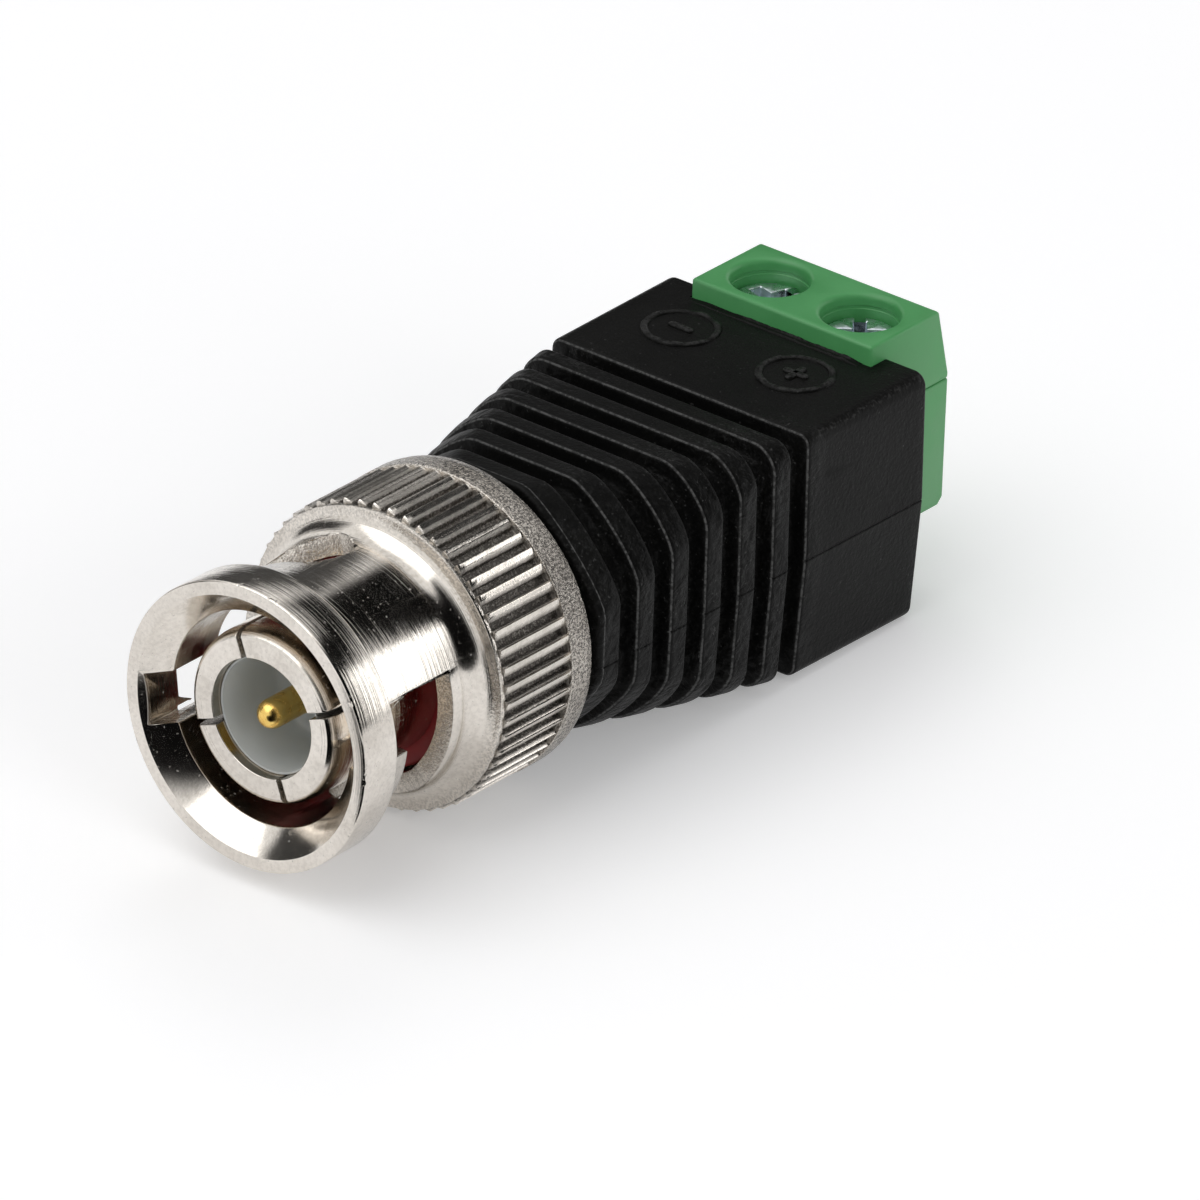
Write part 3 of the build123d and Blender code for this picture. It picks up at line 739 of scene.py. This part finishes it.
def plastic(name, colour, pale, roughness, depth, grain_size, patch_size=350.0):
    """A moulded or turned plastic with a fine grain and a slightly uneven gloss and colour."""
    material, tree, surface = shader(name)
    skin = use(tree, grain, Grain_Size=grain_size, Patch_Size=patch_size)
    broad = use(tree, grain, Grain_Size=500.0, Patch_Size=120.0)
    tint = skin["Patch"] * 0.5 + broad["Grain"] * 0.5
    dress(surface, Base_Color=blend(tree, tint, colour, pale), Normal=bump(tree, skin["Grain"], 0.6, depth),
          Roughness=skin["Patch"].ramp(0.0, 1.0, roughness, roughness + 0.12))
    return material


cup_white, cup_pale = (0.50, 0.53, 0.52, 1), (0.56, 0.58, 0.57, 1)
cup_white_plastic = plastic("white_insulator", cup_white, cup_pale, 0.34, 0.004, 5000.0)
cup_outer, cup_inner, cup_bore = 2.745, 2.64, 0.87
cup_front, cup_floor, cup_rear = 1.62, 5.3, 9.0
cup = turned(eased([
    (cup_outer, cup_front), (cup_outer, cup_rear), (cup_bore, cup_rear), (cup_bore, cup_floor),
    (cup_inner, cup_floor, 0.5), (cup_inner, cup_front),
], 0.04), "insulator_cup", steps=96)
cup.data.materials.append(cup_white_plastic)
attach(cup, "adapter_body")
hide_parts("front_insulator")

pin_radius, pin_front = 0.675, 1.15
stem_radius, pin_collar, collar_front, collar_rear = 0.85, 1.5, 9.02, 9.82
tail_radius, solder_cup_radius, solder_cup_end = 1.1, 0.7, 18.0
tip = [
    (pin_radius * math.sin(a), pin_front + pin_radius * (1 - math.cos(a)), 0)
    for a in [math.pi / 2 * k / 10 for k in range(11)]
]
pin = turned(eased([
    *tip, (pin_radius, cup_floor, 0), (stem_radius, cup_floor), (stem_radius, collar_front),
    (pin_collar, collar_front), (pin_collar, collar_rear), (tail_radius, collar_rear),
    (tail_radius, barrel_end), (solder_cup_radius, barrel_end), (solder_cup_radius, solder_cup_end),
    (0, solder_cup_end, 0),
], 0.05), "gold_pin", steps=64)


def gold_plate():
    material, tree, surface = shader("gold_plate")
    lines = use(tree, turning, Line_Count=14000.0, Waver=0.2)
    dents = use(tree, grain, Grain_Size=3500.0, Patch_Size=1500.0)
    height = lines["Lines"] * 0.3 + dents["Grain"] * 0.7
    colour = blend(tree, dents["Patch"], (0.86, 0.60, 0.18, 1), (0.78, 0.50, 0.13, 1))
    dress(surface, Base_Color=colour, Metallic=1.0, Normal=bump(tree, height, 0.5, 0.04),
          Roughness=dents["Patch"].ramp(0.0, 1.0, 0.16, 0.32))
    return material


pin.data.materials.append(gold_plate())
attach(pin, "adapter_body")
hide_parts("centre_pin")

# Gasket
# A soft ring of deep red silicone rubber round the fingers, against the flange. It is what
# shows red through the bayonet slots.

seal_inner, seal_outer, seal_front, seal_rear = 3.77, 4.85, 8.04, 9.02
seal = turned(eased([
    (seal_inner, seal_front), (seal_outer, seal_front), (seal_outer, seal_rear), (seal_inner, seal_rear),
], 0.2), "face_gasket", steps=96)


def red_silicone():
    material, tree, surface = shader("red_silicone")
    skin = use(tree, grain, Grain_Size=3000.0, Patch_Size=400.0)
    red = blend(tree, skin["Patch"], (0.30, 0.012, 0.018, 1), (0.38, 0.02, 0.026, 1))
    dress(surface, Base_Color=red, Roughness=0.42, Normal=bump(tree, skin["Grain"], 0.5, 0.01))
    return material


seal.data.materials.append(red_silicone())
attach(seal, "adapter_body")
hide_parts("gasket")

# Black moulding
# Black PVC moulded round the plug's barrel and the terminal block in a two-part mould. It is a
# box that runs out forwards in six bands that let it bend, with a grained and wrinkled skin.

body_start, box_start, box_end = 15.22, 29.28, 37.58
collar_half, collar_top, collar_bottom, collar_shift = 6.58, 6.70, -5.75, 0.57
collar_corner, collar_fullness = 4.9, 0.22
seam_half, top_half, bottom_half = 7.36, 7.25, 6.95
box_top, box_bottom, box_corner, box_fullness = 5.50, -6.55, 0.55, 0.55
seam_height, line_half, line_depth, box_draft = -0.58, 0.06, 0.05, 0.08
band_count, band_width, groove_width = 6, 1.44, 1.10
band_pitch = (box_start - body_start - band_width - groove_width) / (band_count - 1)
crest_round = [(0.0, 0.24), (0.02, 0.13), (0.07, 0.05), (0.14, 0.01), (0.22, 0.0)]
root_round = [(0.03, 0.55), (0.07, 0.76), (0.14, 0.84), (0.24, 0.85)]


def between(front, rear, y):
    """A value that runs evenly from the moulding's front end to the box."""
    return front + (rear - front) * min(1.0, (y - body_start) / (box_start - body_start))


def corner_curve(side, level, box_half, y, inset, steps=10):
    """Points of one corner's curve, from the flat to the side."""
    half = between(collar_half, box_half, y) - inset
    at_seam = between(collar_half, seam_half, y) - inset
    reach = max(between(collar_corner, box_corner, y) - inset, 0.2)
    handle = 1 - between(collar_fullness, box_fullness, y)
    corner = Vector((side * half, level))
    flat = Vector((-side, 0)) * reach
    flank = (Vector((side * at_seam, seam_height)) - corner).normalized() * reach
    a, b, c, d = corner + flat, corner + flat * handle, corner + flank * handle, corner + flank
    points = []
    for step in range(steps + 1):
        t = step / steps
        points.append(a * (1 - t) ** 3 + b * 3 * t * (1 - t) ** 2 + c * 3 * t * t * (1 - t) + d * t ** 3)
    return points


def run(start, end, steps):
    """Points between two points, without the points themselves."""
    return [start.lerp(end, k / steps) for k in range(1, steps)]


def body_section(y, inset):
    """The moulding's outline at y, with a shallow parting line at the seam."""
    top = between(collar_top, box_top, y) - inset
    bottom = between(collar_bottom, box_bottom, y) + inset
    at_seam = between(collar_half, seam_half, y) - inset
    curves = [
        corner_curve(1, top, top_half, y, inset), corner_curve(1, bottom, bottom_half, y, inset)[::-1],
        corner_curve(-1, bottom, bottom_half, y, inset), corner_curve(-1, top, top_half, y, inset)[::-1],
    ]
    points = []
    for k, curve in enumerate(curves):
        points += curve
        following = curves[(k + 1) % 4][0]
        if k in (1, 3):
            points += run(curve[-1], following, 14)
            continue
        side = 1 if k == 0 else -1
        seam = Vector((side * at_seam, seam_height))
        sunk, beyond = Vector((side * line_depth, 0)), Vector((0, side * line_half))
        points += run(curve[-1], seam + beyond, 6) + [seam + beyond, seam - sunk, seam - beyond]
        points += run(seam - beyond, following, 6)
    shift = between(collar_shift, 0, y)
    return [(p.x + shift, y, p.y) for p in points]


def body_stations():
    """Places along the moulding with how far its skin is drawn in."""
    starts = [body_start] + [box_start - band_pitch * k for k in range(band_count - 1, 0, -1)]
    stations = [(body_start, 0.9)]
    for start, following in zip(starts, starts[1:] + [box_start]):
        end = following - groove_width
        stations += [(start + d, inset) for d, inset in crest_round]
        stations += [(start + (end - start) * share, 0.0) for share in (0.35, 0.5, 0.65)]
        stations += [(end - d, inset) for d, inset in crest_round[::-1]]
        stations += [(end + d, inset) for d, inset in root_round]
        stations += [(following - d, inset) for d, inset in root_round[::-1]]
    stations += [(box_start + d, inset) for d, inset in crest_round]
    crest = crest_round[-1][0]
    for k in range(1, 14):
        share = k / 14
        stations.append((box_start + crest + (box_end - box_start - 2 * crest) * share, -box_draft * share))
    stations += [(box_end - d, inset - box_draft) for d, inset in crest_round[::-1]]
    return stations


moulding = shell("black_moulding", [
    [Vector(point) * MM for point in body_section(y, inset)] for y, inset in body_stations()
])


def prism(name, points, low, high):
    """A solid across X from points (y, z), between two values of x."""
    return shell(name, [[Vector((x, y, z)) * MM for y, z in points] for x in (low, high)])


block_half, block_front, block_bottom = 5.08, 33.9, -3.31
cover_front, skirt_front, slope_top = 36.39, 34.6, 5.0
block_play = 0.03
nest = prism("nest", [
    (block_front, block_bottom - block_play), (40, block_bottom - block_play), (40, 8),
    (cover_front - block_play, 8), (cover_front - block_play, slope_top), (skirt_front, 3.2),
    (block_front, 2.9),
], -block_half - block_play, block_half + block_play)
hub_inner, hub_outer, hub_front, hub_rear = 4.32, 5.6, 13.62, 15.6
hub = turned(eased([
    (hub_inner, hub_front), (hub_outer, hub_front, 0.2), (hub_outer, hub_rear, 0), (hub_inner, hub_rear, 0),
], 0.05), "moulding_hub", steps=96)


def black_pvc():
    """Near-black PVC: grained all over, with coarse pebbles and wrinkles towards the corners of the
    bands. Its colour has painted highlights: a few glinting specks, a sheen on the pebbles, and pale
    lines along each band's front edge, on the marks and along the top edges."""
    material, tree, surface = shader("black_moulding")
    place = own_place(tree)
    x, y, z = split(tree, place)
    skin = use(tree, grain, Grain_Size=5200.0, Patch_Size=260.0)
    pebbles = out(tree, "ShaderNodeTexVoronoi", "Distance", Vector=place, Scale=2300.0, Randomness=1.0,
                  set_feature="SMOOTH_F1")
    wrinkles = speckle(tree, place, 1300.0, Detail=4.0, Roughness=0.65, Distortion=0.6)
    specks = speckle(tree, place, 5600.0, Detail=1.0)
    scuff = use(tree, turning, Line_Count=2500.0, Waver=0.0)
    beside = maths(tree, "ABSOLUTE", x)
    at_corner = beside.over(1.6, 4.6) * y.over(30.5, 28.5)
    patch = (skin["Patch"] * 0.5 + 0.5) * at_corner
    coarse = (pebbles * 0.6 + wrinkles) * (patch * 2.6 + 0.2)
    height = skin["Grain"] * 0.5 + coarse
    # Painted highlight: a thin pale line along each band's front edge, broken by specks
    past_edge = maths(tree, "WRAP", y - box_start * MM, band_pitch * MM, 0.0)
    painted_edge_highlight = past_edge.over(0.105, 0.075) * past_edge.over(0.02, 0.045)
    painted_edge_highlight = painted_edge_highlight * y.over(29.6, 29.5) * specks.ramp(0.40, 0.58, 0.35, 1.0)
    glint = (specks + patch * 0.06).ramp(0.73, 0.80)
    # Painted sheen: paler specks on the pebbles towards the corners of the bands
    painted_pebble_sheen = patch * skin["Grain"].ramp(0.54, 0.68) * 0.13
    # Painted highlight on whatever stands above the box's top: the marks and the flash
    above_top = z - y.over(box_start, box_end, box_top * MM, (box_top + box_draft) * MM)
    painted_mark_highlight = above_top.over(0.05, 0.11) * specks.ramp(0.35, 0.6, 0.1, 1.0)
    painted_mark_highlight = painted_mark_highlight * y.over(31.0, 31.2)
    # Painted highlight: a broken pale line along the box's top side edges
    top_edge = beside.over(6.95, 7.05) * beside.over(7.24, 7.17)
    painted_top_edge_highlight = z.over(5.1, 5.2) * specks.ramp(0.50, 0.62) * top_edge
    painted_top_edge_highlight = painted_top_edge_highlight * y.over(29.6, 30.0) * 0.8
    # The painted highlights all lift the colour towards one pale grey
    pale = maths(tree, "ADD", painted_edge_highlight + painted_pebble_sheen, glint * 0.4, clamp=True)
    pale = larger(pale, larger(painted_mark_highlight, painted_top_edge_highlight) * 0.28)
    dusty = blend(tree, skin["Patch"], (0.0030, 0.0030, 0.0028, 1), (0.0050, 0.0050, 0.0046, 1))
    gloss = skin["Grain"] * 0.12 + 0.36 - painted_edge_highlight * 0.1 + scuff["Scratches"] * 0.1
    dress(surface, Base_Color=blend(tree, pale, dusty, (0.085, 0.085, 0.083, 1)), Roughness=gloss,
          Specular_IOR_Level=0.09, Normal=bump(tree, height, 0.9, 0.07))
    return material


black = black_pvc()
for piece in (moulding, hub):
    piece.data.materials.append(black)
cut(moulding, [nest])
for piece in (moulding, hub):
    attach(piece, "adapter_body")
    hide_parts("moulded_body")

# Polarity marks and flash
# Raised in the mould: a thin ring round a minus and a plus, one above each terminal. Along the
# block's front edge the plastic has squeezed up in a ragged double lip.

mark_places = {"minus": (-3.47, 33.7), "plus": (3.08, 33.6)}
mark_radius, mark_line = 1.64, 0.19
bar_length, bar_half = 1.35, 0.19


def top_height(y):
    return box_top + box_draft * (y - box_start) / (box_end - box_start)


def bead_ring(centre, radius, thick, steps=72, around=10):
    """A thin ring, worn unevenly."""
    rings = []
    for step in range(steps):
        turn = 2 * math.pi * step / steps
        worn = 1 + 0.6 * noise.noise(Vector((centre.x + 3 * math.cos(turn), 3 * math.sin(turn), 0)))
        ring = []
        for k in range(around):
            a = 2 * math.pi * k / around
            reach, height = radius + thick * math.cos(a), 0.6 * thick * worn * math.sin(a)
            ring.append((centre + Vector((reach * math.cos(turn), reach * math.sin(turn), height))) * MM)
        rings.append(ring)
    return shell("mark_ring", rings, closed=True)


def bar(centre, long, half, turned_across):
    """A low raised bar with rounded ends and shoulders."""
    rings = []
    for height, shrink in ((-0.05, 0.0), (0.06, 0.0), (0.12, 0.04), (0.14, 0.09)):
        points = []
        for end in (1, -1):
            for k in range(9):
                a = math.pi * k / 8 - math.pi / 2
                reach = long / 2 - half + (half - shrink) * math.cos(a)
                points.append((end * reach, end * (half - shrink) * math.sin(a)))
        if turned_across:
            points = [(-v, u) for u, v in points]
        rings.append([(centre + Vector((u, v, height))) * MM for u, v in points])
    return shell("mark_bar", rings)


marks = []
for pole, (x, y) in mark_places.items():
    centre = Vector((x, y, top_height(y)))
    made = [bead_ring(centre, mark_radius, mark_line), bar(centre, bar_length, bar_half, False)]
    if pole == "plus":
        made.append(bar(centre, bar_length, bar_half, True))
    for k, piece in enumerate(made):
        piece.name = f"mark_{pole}_{k}"
        marks.append(piece)

flash_steps, flash_y = 90, 36.2
flash_start, flash_length = -4.9, 9.5
foot = top_height(flash_y)
front_lip = [(36.00, -0.06, 0), (36.04, 0, 0.10), (36.11, 0, 0.17), (36.18, 0, 0.09)]
rear_lip = [(36.24, 0, 0.12), (36.31, 0, 0.26), (36.37, 0, 0.24), (36.41, -0.06, 0)]
rows = []
for k in range(flash_steps + 1):
    x = flash_start + flash_length * k / flash_steps
    swell = 0.45 + 0.25 * noise.noise(Vector((x * 0.9, 3.1, 0)))
    swell += 0.12 * noise.noise(Vector((x * 4.0, 7.7, 0)))
    swell *= 0.45 + 0.55 * min(1.0, max(0.0, (x + 3.2) / 2.5))
    swell *= min(1.0, (k + 1) / 8, (flash_steps + 1 - k) / 8)
    ragged = 0.025 * noise.noise(Vector((x * 2.2, 1.7, 4)))
    section = [(y + ragged, low + rise * swell) for y, low, rise in front_lip]
    section += [(y, low + rise * swell) for y, low, rise in rear_lip]
    rows.append([Vector((x, y, foot + z)) * MM for y, z in section])
flash = shell("block_flash", rows, sharp=60)
for piece in (*marks, flash):
    piece.data.materials.append(black)
    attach(piece, "adapter_body")

# Terminal block
# Green polyamide in two mouldings, a base and a cover snapped on it, with a seam between them.
# Each pole has a round screw hole with a soft rim and an inner ledge, and a wire hole behind.

pole_half = 2.54
screw_y = 38.835
cover_seam, cover_top, skirt_top = 2.90, 6.50, 3.21
block_rear, cover_rear = 42.13, 41.28
front_chamfer, rear_chamfer = 0.3, 0.35
entry_height = -1.10
cover = prism("block_cover", [
    (skirt_front, cover_seam), (skirt_front, skirt_top), (cover_front, slope_top), (cover_front, cover_top),
    (cover_rear, cover_top), (block_rear, skirt_top), (block_rear, cover_seam),
], -block_half, block_half)
base = prism("block_base", [
    (block_front, block_bottom + front_chamfer), (block_front + front_chamfer, block_bottom),
    (block_rear - rear_chamfer, block_bottom), (block_rear, block_bottom + rear_chamfer),
    (block_rear, cover_seam), (block_front, cover_seam),
], -block_half, block_half)


def upright(outline, x, y, name):
    """A cutter turned about a vertical line, from (radius, z)."""
    piece = turned([(r, z) for r, z in outline], name, steps=64)
    piece.data.transform(Matrix.Translation(Vector((x, y, 0)) * MM) @ Matrix.Rotation(math.pi / 2, 4, "X"))
    return piece


def level_hole(outline, x, z, name):
    """A cutter turned about a line along Y, from (radius, y)."""
    piece = turned(outline, name, steps=48)
    piece.data.transform(Matrix.Translation(Vector((x, 0, z)) * MM))
    return piece


hole_radius, rim_round = 1.80, 0.26
ledge_radius, ledge_top, cage_floor = 1.58, 4.13, 1.0
cage_half, cage_front, cage_rear = 2.05, 36.535, 41.135
wire_radius, funnel_radius = 1.25, 1.75
strip_half, strip_start, strip_heights = 1.17, 34.88, (-0.12, 0.62)
rim = []
for k in range(6):
    a = math.pi / 2 * k / 5
    rim.append((hole_radius + rim_round * (1 - math.sin(a)), cover_top - rim_round * (1 - math.cos(a))))
cover_cuts, base_cuts = [], []
for x in (-pole_half, pole_half):
    hole = [
        (0, 7), (hole_radius + rim_round, 7), *rim, (hole_radius, 5.96), (1.83, 5.92), (1.83, 5.80),
        (hole_radius, 5.76), (hole_radius, ledge_top), (ledge_radius, ledge_top),
        (ledge_radius, cage_floor), (0, cage_floor),
    ]
    cover_cuts.append(upright(hole, x, screw_y, "screw_hole"))
    room = (x - cage_half, x + cage_half), (cage_front, cage_rear)
    cover_cuts.append(brick("cage_room", *room, (cage_floor, 3.6)))
    base_cuts.append(brick("cage_room", *room, (-2.81, 4)))
    funnel = [
        (0, 40), (wire_radius, 40), (wire_radius, block_rear - 0.4),
        (funnel_radius, block_rear + 0.1), (funnel_radius, 43), (0, 43),
    ]
    base_cuts.append(level_hole(funnel, x, entry_height, "wire_hole"))
    base_cuts.append(brick("strip_slot", (x - strip_half, x + strip_half), (strip_start, 37), strip_heights))
green, pale_green = (0.062, 0.285, 0.088, 1), (0.075, 0.325, 0.105, 1)
polyamide = plastic("green_housing", green, pale_green, 0.36, 0.008, 4500.0, 300.0)
halves = ((cover, "terminal_cover", cover_cuts, 0.15), (base, "terminal_base", base_cuts, 0.12))
for piece, node, cuts, ease in halves:
    piece.data.materials.append(polyamide)
    cut(piece, cuts, ease=ease, ease_steps=3)
    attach(piece, "adapter_body")
    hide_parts(node)

# Terminal screws
# Captive M3 screws of steel with bluish zinc plating, pressed with a combined slot and cross
# recess, and pebbled where the punch struck.

head_radius, head_top, head_bottom = 1.72, 5.50, 4.15
shank_radius, shank_tip = 1.46, 0.78
thread_count, thread_step, thread_depth = 13, 0.25, 0.12


def zinc_plate():
    material, tree, surface = shader("zinc_screw")
    dents = out(tree, "ShaderNodeTexVoronoi", "Distance", Vector=own_place(tree),
                Scale=4200.0, Randomness=1.0)
    skin = use(tree, grain, Grain_Size=4000.0, Patch_Size=900.0)
    bluish = blend(tree, skin["Patch"], (0.80, 0.86, 0.90, 1), (0.68, 0.75, 0.80, 1))
    dress(surface, Base_Color=bluish, Metallic=1.0, Normal=bump(tree, dents + skin["Grain"], 0.4, 0.03),
          Roughness=skin["Patch"].ramp(0.0, 1.0, 0.24, 0.38))
    return material


zinc = zinc_plate()
for name, x, slot_turn in (("minus", -pole_half, 75), ("plus", pole_half, 128)):
    head = [(0, head_top), (head_radius - 0.3, head_top), (head_radius - 0.09, head_top - 0.09),
            (head_radius, head_top - 0.3), (head_radius, head_bottom), (shank_radius, head_bottom)]
    for k in range(thread_count):
        crest = head_bottom - 0.06 - thread_step * k
        head += [(shank_radius, crest), (shank_radius - thread_depth, crest - thread_depth)]
    head += [(shank_radius - 0.25, shank_tip), (0, shank_tip)]
    screw = upright(head, x, screw_y, f"screw_{name}")
    recess = []
    turned_to = Matrix.Rotation(math.radians(slot_turn), 4, "Z")
    place = Matrix.Translation(Vector((x, screw_y, 0)) * MM) @ turned_to
    for long, wide, deep in ((3.6, 0.5, 0.7), (2.2, 0.62, 0.95), (0.62, 2.2, 0.95)):
        spans = (-long / 2, long / 2), (-wide / 2, wide / 2), (head_top - deep, 7)
        recess.append(brick("recess", *spans))
        recess[-1].data.transform(place)
    screw.data.materials.append(zinc)
    cut(screw, recess, ease=0.05)
    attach(screw, f"screw_{name}")
    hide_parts(f"terminal_screw_{name}")

# Inner metal
# What shows only through the wire holes and behind the nut: pressed steel cages, tinned strips,
# soldered link wires, and the spring steel ring, washer and spring that hold the nut.


def plain_metal(name, bright, dull, roughness):
    """Rolled or pressed metal with faint lines and dull patches."""
    material, tree, surface = shader(name)
    skin = use(tree, grain, Grain_Size=3500.0, Patch_Size=600.0)
    lines = use(tree, turning, Line_Count=9000.0, Waver=0.4)
    height = lines["Lines"] * 0.4 + skin["Grain"] * 0.4
    dress(surface, Base_Color=blend(tree, skin["Patch"], bright, dull), Metallic=1.0,
          Roughness=skin["Patch"].ramp(0.0, 1.0, roughness, roughness + 0.14),
          Normal=bump(tree, height, 0.5, 0.02))
    return material


spring_steel = plain_metal("spring_steel", (0.58, 0.57, 0.56, 1), (0.45, 0.44, 0.43, 1), 0.28)
cage_metal = plain_metal("plated_cage", (0.70, 0.69, 0.66, 1), (0.58, 0.57, 0.54, 1), 0.26)
tinned = plain_metal("tinned_strip", (0.74, 0.74, 0.72, 1), (0.62, 0.62, 0.60, 1), 0.32)
wire_metal = plain_metal("link_wire", (0.72, 0.69, 0.64, 1), (0.60, 0.56, 0.50, 1), 0.34)
inner = {
    "thrust_washer": spring_steel, "retaining_ring": spring_steel,
    "clamp_cage_minus": cage_metal, "clamp_cage_plus": cage_metal,
    "contact_strip_minus": tinned, "contact_strip_plus": tinned,
    "centre_link_wire": wire_metal, "ground_link_wire": wire_metal,
    "rear_insulator": cup_white_plastic,
}
for name, material in inner.items():
    nodes[name].data.materials.clear()
    nodes[name].data.materials.append(material)

# The spring is a copy of its solid, because it flattens as the nut is pulled forward
edit = bmesh.new()
edit.from_mesh(nodes["wave_spring"].data)
edit.transform(nodes["wave_spring"].matrix_world)
spring = finish_mesh(edit, "nut_spring")
spring.data.materials.clear()
spring.data.materials.append(spring_steel)
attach(spring, "adapter_body")
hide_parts("wave_spring")
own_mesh(spring)
